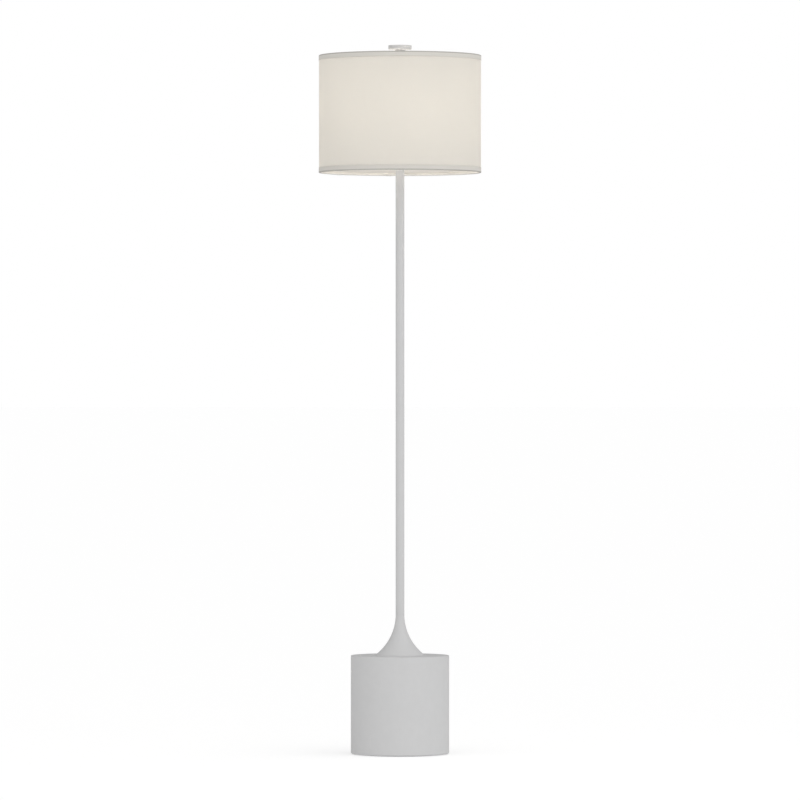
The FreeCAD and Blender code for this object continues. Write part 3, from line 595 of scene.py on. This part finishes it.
# Shade cloth and tapes: each is laid out flat, with its layout kept for the weave, and then rolled
shadeCloth = {
    "columns": 360,
    "rows": 22,
    "thickness": 0.0005,
    "lap": 0.011,          # the cloth's end lies on its start, at the back
    "lapRise": 0.005,      # length over which the end climbs onto it
    "lapAngle": 90.0,
    "lapGap": 0.00005,     # between the layers of the lap
    "rimGap": 0.0004,      # from the cloth's edges to the CAD cloth's edges
}
shadeTape = {
    "columns": 360,
    "rows": 26,
    "thickness": 0.0005,
    "lap": 0.009,
    "lapRise": 0.004,
    "lapAngle": 97.0,
    "lapGap": 0.00005,
    "outerLeg": 0.0115,
    "innerLeg": 0.0065,
    "outerBend": 0.0012,
    "innerBend": 0.0022,
    "ringGap": 0.0001,     # from the ring to the inner leg
    "armHole": 0.0019,     # radius of the snipped holes that the frame's arms pass through
    "armHoleDepth": 0.006,
    "arms": 3,
    "firstArm": -90.0,
}


def flatLayout(length, width, columns, rows):
    # a flat sheet in the XY plane, from 0 to its length and width, which its UV map keeps
    bm = bmesh.new()
    bmesh.ops.create_grid(bm, x_segments=columns, y_segments=rows, size=0.5)
    bmesh.ops.translate(bm, verts=bm.verts, vec=(0.5, 0.5, 0))
    bmesh.ops.scale(bm, verts=bm.verts, vec=(length, width, 1))
    layout = bm.loops.layers.uv.new("clothLayout")
    for face in bm.faces:
        for loop in face.loops:
            loop[layout].uv = loop.vert.co.xy
    return bm


def lapLift(along, length, sheet):
    # how far the sheet's end is lifted off its start
    start = length - sheet["lap"]
    climbed = (along - start + sheet["lapRise"]) / sheet["lapRise"]
    return (sheet["thickness"] + sheet["lapGap"]) * ease(climbed)


def clothBump(angle, girth):
    # what the cloth's lap adds under the tape, at an angle from the cloth's start
    turned = (angle - math.radians(shadeCloth["lapAngle"])) % fullTurn
    along = turned / fullTurn * girth
    rise, lap = shadeCloth["lapRise"], shadeCloth["lap"]
    if along > girth / 2:
        return shadeCloth["thickness"] * ease((along - girth + rise) / rise)
    return shadeCloth["thickness"] * ease((lap + rise - along) / rise)


def makeShadeCloth():
    low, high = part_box("shade_fabric")
    radius = high.x
    girth = fullTurn * radius
    length = girth + shadeCloth["lap"]
    width = high.z - low.z - 2 * shadeCloth["rimGap"]
    bm = flatLayout(length, width, shadeCloth["columns"], shadeCloth["rows"])
    start = math.radians(shadeCloth["lapAngle"])
    for vert in bm.verts:
        along, across = vert.co.x, vert.co.y
        reach = radius + lapLift(along, length, shadeCloth)
        angle = start + along / radius
        vert.co = (reach * math.cos(angle), reach * math.sin(angle), low.z + shadeCloth["rimGap"] + across)
    bmesh.ops.recalc_face_normals(bm, faces=bm.faces)
    pointOutwards(bm)
    piece = addPiece(bm, "shadeCloth", "shade", "shade_linen", "shade_fabric")
    thicken(piece, shadeCloth["thickness"])


def pointOutwards(bm):
    # the first face, on the sheet's outside, looks away from the lamp's axis, and the rest with it
    bm.faces.ensure_lookup_table()
    face = bm.faces[0]
    middle = face.calc_center_median()
    if face.normal.dot(Vector((middle.x, middle.y, 0))) < 0:
        bmesh.ops.reverse_faces(bm, faces=bm.faces)


def thicken(piece, thickness):
    wall = piece.modifiers.new("thickness", "SOLIDIFY")
    wall.thickness = thickness
    wall.offset = -1
    wall.use_even_offset = True
    settle(piece)


def foldPlace(across, outer, inner, rim):
    # (radius, height below the rim, outward radial, outward height) at a place across the folded tape
    bend, turn = shadeTape["outerBend"], shadeTape["innerBend"]
    leg = shadeTape["outerLeg"] - bend
    top = outer - inner - bend - turn
    quarter = math.pi / 2
    if across < leg:
        return outer, leg + bend - across, 1.0, 0.0
    across -= leg
    if across < bend * quarter:
        cosine, sine = math.cos(across / bend), math.sin(across / bend)
        return outer - bend + bend * cosine, bend - bend * sine, cosine, sine
    across -= bend * quarter
    if across < top:
        return outer - bend - across, 0.0, 0.0, 1.0
    across -= top
    if across < turn * quarter:
        cosine, sine = math.cos(across / turn), math.sin(across / turn)
        return inner + turn - turn * sine, turn - turn * cosine, -sine, cosine
    across -= turn * quarter
    return inner, turn + across, -1.0, 0.0


def makeTape(name, node, inward, snipped):
    low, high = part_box(node)
    outer = high.x
    rim = high.z if inward < 0 else low.z
    inner = outer - shadeTapeWidth()
    quarter = math.pi / 2
    bends = shadeTape["outerBend"] + shadeTape["innerBend"]
    width = shadeTape["outerLeg"] + shadeTape["innerLeg"] + outer - inner - 2 * bends + bends * quarter
    girth = fullTurn * outer
    length = girth + shadeTape["lap"]
    bm = flatLayout(length, width, shadeTape["columns"], shadeTape["rows"])
    start = math.radians(shadeTape["lapAngle"])
    for vert in bm.verts:
        along, across = vert.co.x, vert.co.y
        reach, down, outR, outZ = foldPlace(across, outer, inner, rim)
        angle = start + along / outer
        lift = lapLift(along, length, shadeTape)
        reach += outR * lift + max(outR, 0.0) * clothBump(angle, girth)
        height = rim + inward * (down - outZ * lift)
        vert.co = (reach * math.cos(angle), reach * math.sin(angle), height)
    bmesh.ops.recalc_face_normals(bm, faces=bm.faces)
    pointOutwards(bm)
    piece = addPiece(bm, name, "shade", "trim_tape", node)
    thicken(piece, shadeTape["thickness"])
    if snipped:
        snipForArms(piece)


def shadeTapeWidth():
    # from the tape's outside to its inside, over the cloth, the backing and the ring
    ringLow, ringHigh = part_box("shade_top_ring")
    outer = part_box("shade_top_trim")[1].x
    wire = (ringHigh.z - ringLow.z) / 2
    return outer - (ringHigh.x - 2 * wire) + shadeTape["thickness"] + shadeTape["ringGap"]


def snipForArms(piece):
    ringLow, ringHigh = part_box("shade_top_ring")
    wire = (ringHigh.z - ringLow.z) / 2
    middle = (ringLow.z + ringHigh.z) / 2
    hole, depth = shadeTape["armHole"], shadeTape["armHoleDepth"]
    bm = bmesh.new()
    for i in range(shadeTape["arms"]):
        angle = math.radians(shadeTape["firstArm"] + 360 / shadeTape["arms"] * i)
        made = bmesh.ops.create_cone(bm, cap_ends=True, segments=32, radius1=hole, radius2=hole, depth=depth)
        place = Matrix.Rotation(angle, 4, "Z") @ Matrix.Translation(
            (ringHigh.x - 2 * wire, 0, middle)
        ) @ Matrix.Rotation(math.pi / 2, 4, "Y")
        bmesh.ops.transform(bm, matrix=place, verts=made["verts"])
    cutPiece(piece, bm)


def cutPiece(piece, bm):
    # takes the cutter's solids out of the piece
    mesh = bpy.data.meshes.new("cutter")
    bm.to_mesh(mesh)
    bm.free()
    cutter = bpy.data.objects.new("cutter", mesh)
    scene.collection.objects.link(cutter)
    cut = piece.modifiers.new("cut", "BOOLEAN")
    cut.operation = "DIFFERENCE"
    cut.solver = "EXACT"
    cut.use_self = True
    cut.object = cutter
    settle(piece)
    bpy.data.objects.remove(cutter)
    bpy.data.meshes.remove(mesh)


makeShadeCloth()
makeTape("topTape", "shade_top_trim", -1, True)
makeTape("bottomTape", "shade_bottom_trim", 1, False)
print("shade: cloth and tapes")


# Turned and threaded hardware. A profile holds (radius, height) corners and is spun round the axis.
hair = 1e-6                # two places nearer than this are one


def turned(bm, profile, steps, ring=False, rows=None):
    # ring closes the profile on itself. rows gives walls, by number, that are parted for a thread
    corners = [bm.verts.new((reach, 0, height)) for reach, height in profile]
    ends = corners[1:] + corners[:1] if ring else corners[1:]
    walls = [bm.edges.new(pair) for pair in zip(corners, ends)]
    for wall, count in (rows or {}).items():
        bmesh.ops.subdivide_edges(bm, edges=[walls[wall]], cuts=count - 1)
    outline = list(bm.verts) + list(bm.edges)
    bmesh.ops.spin(bm, geom=outline, axis=(0, 0, 1), angle=fullTurn, steps=steps, use_merge=True)
    bmesh.ops.remove_doubles(bm, verts=bm.verts, dist=hair)
    bmesh.ops.recalc_face_normals(bm, faces=bm.faces)


def roundRim(bm, reach, height, amount):
    def onRim(vert):
        return abs(vert.co.xy.length - reach) < hair and abs(vert.co.z - height) < hair
    rim = [edge for edge in bm.edges if all(onRim(vert) for vert in edge.verts)]
    bmesh.ops.bevel(bm, geom=rim, offset=amount, segments=3, profile=0.5, affect="EDGES", material=-1)


def cutThread(bm, thread, low, high, beyond=0.0):
    # a helical groove in the walls further out than beyond, which fades at both ends
    for vert in bm.verts:
        reach, height = vert.co.xy.length, vert.co.z
        if reach > beyond + hair and low < height < high:
            turns = height / thread["pitch"] - math.atan2(vert.co.y, vert.co.x) / fullTurn
            fade = ease(min(height - low, high - height) / thread["pitch"])
            groove = thread["depth"] * fade * (0.5 - 0.5 * math.cos(fullTurn * turns))
            vert.co.xy = vert.co.xy * (1 - groove / reach)


def repeatAround(bm, look):
    # turns what is in the mesh to its first angle and copies it round the axis
    first = Matrix.Rotation(math.radians(look["firstAngle"]), 3, "Z")
    bmesh.ops.rotate(bm, verts=bm.verts, cent=(0, 0, 0), matrix=first)
    whole = list(bm.verts) + list(bm.edges) + list(bm.faces)
    copies = look["count"] - 1
    turn = fullTurn * copies / look["count"]
    bmesh.ops.spin(bm, geom=whole, axis=(0, 0, 1), angle=turn, steps=copies, use_duplicate=True)


holderThread = {
    "pitch": 0.00363,      # that of an E26 bulb
    "depth": 0.0006,
    "rows": 48,
    "steps": 96,
    "sheet": 0.00045,
    "floorHole": 0.0068,
}


def makeHolderThread():
    low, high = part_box("socket_screw_shell")
    outer, sheet = high.x, holderThread["sheet"]
    hole = holderThread["floorHole"]
    bm = bmesh.new()
    turned(bm, [
        (hole, low.z), (outer, low.z), (outer, high.z),
        (outer - sheet, high.z), (outer - sheet, low.z + sheet), (hole, low.z + sheet),
    ], holderThread["steps"], ring=True, rows={1: holderThread["rows"], 3: holderThread["rows"]})
    roundRim(bm, outer, low.z, sheet)
    cutThread(bm, holderThread, low.z + 2 * sheet, high.z - 2 * sheet, beyond=hole)
    addPiece(bm, "holderScrewShell", "stand", "brass", "socket_screw_shell")


bulbThread = {
    "pitch": 0.00363,
    "depth": 0.0007,
    "rows": 40,
    "steps": 96,
    "sheet": 0.0003,
    "cone": 0.003,         # width and height of the cone below the thread
    "coneBend": 0.001,
    "start": 0.0004,       # from the cone to the thread
    "end": 0.0012,         # from the thread to the rim
    "plugGap": 0.0001,     # from the bulb's foot to the inside of the thread
}


def makeBulbThread():
    low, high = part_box("bulb_base")
    outer, sheet, cone = high.x, bulbThread["sheet"], bulbThread["cone"]
    coneTop = low.z + cone
    bm = bmesh.new()
    turned(bm, [
        (outer - cone, low.z), (outer, coneTop), (outer, high.z),
        (outer - sheet, high.z), (outer - sheet, coneTop), (outer - cone, low.z + sheet),
    ], bulbThread["steps"], ring=True, rows={1: bulbThread["rows"], 3: bulbThread["rows"]})
    roundRim(bm, outer, coneTop, bulbThread["coneBend"])
    roundRim(bm, outer - sheet, coneTop, bulbThread["coneBend"])
    cutThread(bm, bulbThread, coneTop + bulbThread["start"], high.z - bulbThread["end"])
    addPiece(bm, "bulbScrewCap", "bulb", "bulb_aluminium", "bulb_base")

    # the bulb's foot, its plug drawn in to leave room for the thread
    bm = bmesh.new()
    bm.from_mesh(nodes["bulb_body"].data)
    bmesh.ops.remove_doubles(bm, verts=bm.verts, dist=hair)
    plug = [vert for vert in bm.verts if vert.co.z < high.z + hair and vert.co.xy.length < outer]
    room = outer - sheet - bulbThread["depth"] - bulbThread["plugGap"]
    share = room / max(vert.co.xy.length for vert in plug)
    bmesh.ops.scale(bm, verts=plug, vec=(share, share, 1))
    bmesh.ops.recalc_face_normals(bm, faces=bm.faces)
    piece = addPiece(bm, "bulbFoot", "bulb", "bulb_foot_plastic", "bulb_body")
    oldNormals = piece.data.attributes.get("custom_normal")
    if oldNormals:
        piece.data.attributes.remove(oldNormals)


harpPost = {
    "pitch": 0.00094,      # 27 threads to the inch
    "depth": 0.0004,
    "rows": 84,
    "steps": 64,
    "radius": 0.003175,
    "height": 0.0131,
    "tipBend": 0.0006,
    "shoulder": 0.0030,
    "shoulderBend": 0.0005,
    "rivetRadius": 0.0050,
    "rivet": 0.0015,
    "rivetBend": 0.0007,
    "shank": 0.0032,
}


def makeHarpPost():
    low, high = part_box("harp_stud")
    radius, shank = harpPost["radius"], harpPost["shank"]
    rivet, shoulder = harpPost["rivetRadius"], high.x
    seat = high.z - harpPost["height"]
    rivetTop, shoulderLow = low.z + harpPost["rivet"], seat - harpPost["shoulder"]
    bm = bmesh.new()
    turned(bm, [
        (0, low.z), (rivet, low.z), (rivet, rivetTop), (shank, rivetTop), (shank, shoulderLow),
        (shoulder, shoulderLow), (shoulder, seat), (radius, seat), (radius, high.z), (0, high.z),
    ], harpPost["steps"], rows={7: harpPost["rows"]})
    roundRim(bm, rivet, low.z, harpPost["rivetBend"])
    roundRim(bm, shoulder, seat, harpPost["shoulderBend"])
    roundRim(bm, radius, high.z, harpPost["tipBend"])
    cutThread(bm, harpPost, seat, high.z)
    addPiece(bm, "harpPost", "swivel_stud", "satin_nickel", "harp_stud")


def makeScrew(bm, screw, low, high):
    # a countersunk screw on the axis, its head down
    radius, wallTop = screw["radius"], high - screw["tip"]
    threadLow = wallTop - screw["thread"]
    turned(bm, [
        (0, low), (screw["head"], low), (radius, low + screw["headHeight"]), (radius, threadLow),
        (radius, wallTop), (radius - screw["tip"], high), (0, high),
    ], screw["steps"], rows={3: screw["rows"]})
    cutThread(bm, screw, threadLow, wallTop)


def crossRecess(bm, screw, low):
    # two crossed wedges that run up into the head
    for quarter in range(2):
        wing = bmesh.ops.create_cube(bm, size=1)["verts"]
        size = (2 * screw["recessReach"], screw["recessWidth"], 2 * screw["recessDepth"])
        bmesh.ops.scale(bm, verts=wing, vec=size)
        tips = [vert for vert in wing if vert.co.z > 0]
        bmesh.ops.scale(bm, verts=tips, vec=(screw["recessTaper"], 1, 1))
        turn = Matrix.Rotation(quarter * math.pi / 2, 3, "Z")
        bmesh.ops.rotate(bm, verts=wing, cent=(0, 0, 0), matrix=turn)
        bmesh.ops.translate(bm, verts=wing, vec=(0, 0, low))


plateScrew = {
    "pitch": 0.0007,
    "depth": 0.0003,
    "rows": 56,
    "steps": 40,
    "radius": 0.0020,
    "head": 0.0040,
    "headHeight": 0.0020,
    "thread": 0.0074,
    "tip": 0.0004,
    "recessReach": 0.0026,
    "recessWidth": 0.0010,
    "recessDepth": 0.0015,
    "recessTaper": 0.45,
    "distance": 0.098,     # from the lamp's axis
    "count": 4,
    "firstAngle": 45.0,
}


def makePlateScrews():
    low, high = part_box("plate_screws")
    screws, recesses = bmesh.new(), bmesh.new()
    makeScrew(screws, plateScrew, low.z, high.z)
    crossRecess(recesses, plateScrew, low.z)
    for bm in (screws, recesses):
        bmesh.ops.translate(bm, verts=bm.verts, vec=(plateScrew["distance"], 0, 0))
        repeatAround(bm, plateScrew)
    cutPiece(addPiece(screws, "crossHeadScrews", "stand", "zinc_plated_steel", "plate_screws"), recesses)


ballastBolt = {
    "pitch": 0.0010,
    "depth": 0.0004,
    "rows": 100,
    "steps": 48,
    "radius": 0.0030,
    "head": 0.0060,
    "headHeight": 0.0020,
    "thread": 0.0200,
    "tip": 0.0006,
    "recessReach": 0.0037,
    "recessWidth": 0.0015,
    "recessDepth": 0.0020,
    "recessTaper": 0.45,
}


def makeBallastBolt():
    low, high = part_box("ballast_bolt")
    bolt, recess = bmesh.new(), bmesh.new()
    makeScrew(bolt, ballastBolt, low.z, high.z)
    crossRecess(recess, ballastBolt, low.z)
    cutPiece(addPiece(bolt, "crossHeadBolt", "stand", "zinc_plated_steel", "ballast_bolt"), recess)


setScrew = {
    "pitch": 0.0005,
    "depth": 0.0002,
    "rows": 36,
    "steps": 32,
    "tip": 0.0003,
    "slotWidth": 0.0005,
    "slotDepth": 0.0008,
}


def makeSetScrew():
    low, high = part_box("socket_set_screw")
    radius, length = (high.x - low.x) / 2, high.y - low.y
    wallTop = length - setScrew["tip"]
    screw, slot = bmesh.new(), bmesh.new()
    turned(screw, [
        (0, 0), (radius, 0), (radius, wallTop), (radius - setScrew["tip"], length), (0, length),
    ], setScrew["steps"], rows={1: setScrew["rows"]})
    cutThread(screw, setScrew, 0, wallTop)
    bmesh.ops.create_cube(slot, size=1)
    size = (4 * radius, setScrew["slotWidth"], 2 * setScrew["slotDepth"])
    bmesh.ops.scale(slot, verts=slot.verts, vec=size)
    bmesh.ops.translate(slot, verts=slot.verts, vec=(0, 0, length))
    place = Matrix.Translation((0, low.y, (low.z + high.z) / 2)) @ Matrix.Rotation(-math.pi / 2, 4, "X")
    for bm in (screw, slot):
        bmesh.ops.transform(bm, matrix=place, verts=bm.verts)
    cutPiece(addPiece(screw, "slottedSetScrew", "stand", "zinc_plated_steel", "socket_set_screw"), slot)


footRibs = {
    "innerRadius": 0.042,
    "count": 12,
    "depth": 0.0009,
    "land": 0.5,           # share of the pitch that a rib stands on
    "slope": 0.0005,
    "edge": 0.0004,
    "steps": 160,
}


def makeFootRing():
    low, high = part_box("foot_ring")
    inner, outer, count = footRibs["innerRadius"], high.x, footRibs["count"]
    pitch = (outer - inner) / (count - 1 + footRibs["land"])
    floor, groove, slope = low.z, low.z + footRibs["depth"], footRibs["slope"]
    profile = [(outer, high.z), (inner, high.z)]
    for i in range(count):
        start = inner + i * pitch
        end = start + footRibs["land"] * pitch
        profile += [(start, floor), (end, floor), (end + slope, groove), (start + pitch - slope, groove)]
    del profile[-2:]
    bm = bmesh.new()
    turned(bm, profile, footRibs["steps"], ring=True)
    for reach in (inner, outer):
        roundRim(bm, reach, high.z, footRibs["edge"])
    addPiece(bm, "ribbedFootRing", "stand", "foot_rubber", "foot_ring")


hubWeld = {
    "reach": 0.0136,       # from the axis to the middle of a bead
    "size": (0.0023, 0.0025, 0.0014),
    "lift": 0.0019,
    "count": 3,
    "firstAngle": -90.0,
}


def makeHubWelds():
    # small beads where the frame's three arms leave the hub
    low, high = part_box("shade_spider")
    bm = bmesh.new()
    bmesh.ops.create_uvsphere(bm, u_segments=24, v_segments=14, radius=1)
    bmesh.ops.scale(bm, verts=bm.verts, vec=hubWeld["size"])
    bmesh.ops.translate(bm, verts=bm.verts, vec=(hubWeld["reach"], 0, low.z + hubWeld["lift"]))
    repeatAround(bm, hubWeld)
    addPiece(bm, "hubWelds", "shade", "white_wire")


makeHolderThread()
makeBulbThread()
makeHarpPost()
makePlateScrews()
makeBallastBolt()
makeSetScrew()
makeFootRing()
makeHubWelds()
print("hardware: threads, screws, foot ring and welds")
